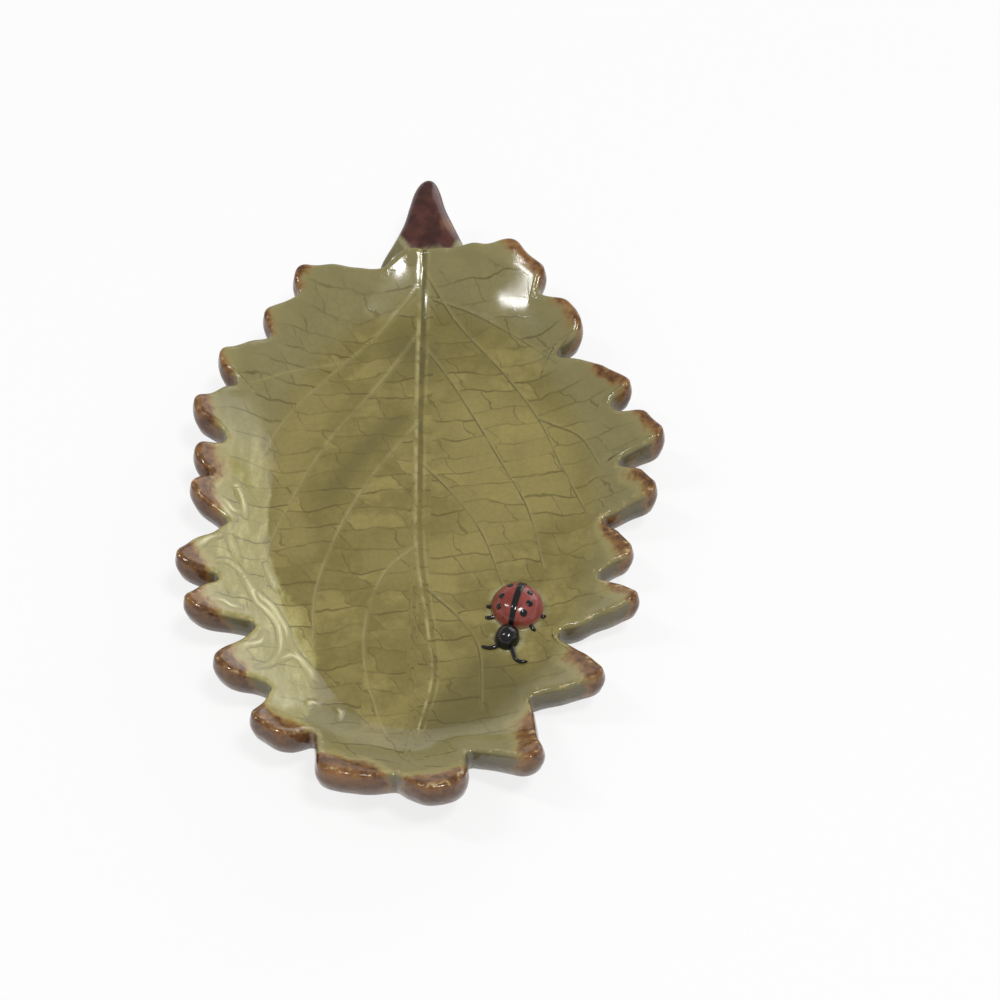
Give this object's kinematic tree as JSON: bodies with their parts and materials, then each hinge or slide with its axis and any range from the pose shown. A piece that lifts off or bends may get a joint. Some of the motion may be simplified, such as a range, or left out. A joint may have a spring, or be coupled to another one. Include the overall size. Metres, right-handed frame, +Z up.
{
  "type": "ring dish",
  "caption": "Shallow leaf-shaped ceramic ring dish with a toothed flared rim, pressed veins, a stem nub and a small modelled ladybug on its floor.",
  "frame": {"origin": "centre of the flat underside that the dish rests on", "axes": "+Z up, +Y along the leaf towards its stem, +X to the right seen from the leaf's tip"},
  "size_m": [0.0863, 0.1388, 0.0161],
  "materials": {
    "leaf_glaze": "glossy olive green glaze over stoneware",
    "stem_glaze": "glossy dark red-brown glaze",
    "shell_glaze": "glossy red glaze",
    "black_glaze": "glossy black slip"
  },
  "bodies": {
    "root": {"leaf_dish": "leaf_glaze", "stem": "stem_glaze", "ladybug_shell": "shell_glaze", "ladybug_head": "black_glaze", "ladybug_antenna_left": "black_glaze", "ladybug_antenna_right": "black_glaze", "ladybug_leg_left_front": "black_glaze", "ladybug_leg_left_middle": "black_glaze", "ladybug_leg_right_front": "black_glaze", "ladybug_leg_right_middle": "black_glaze", "ladybug_stripe": "black_glaze", "ladybug_spot_left_1": "black_glaze", "ladybug_spot_left_2": "black_glaze", "ladybug_spot_left_3": "black_glaze", "ladybug_spot_right_1": "black_glaze", "ladybug_spot_right_2": "black_glaze", "ladybug_spot_right_3": "black_glaze"}
  },
  "joints": []
}
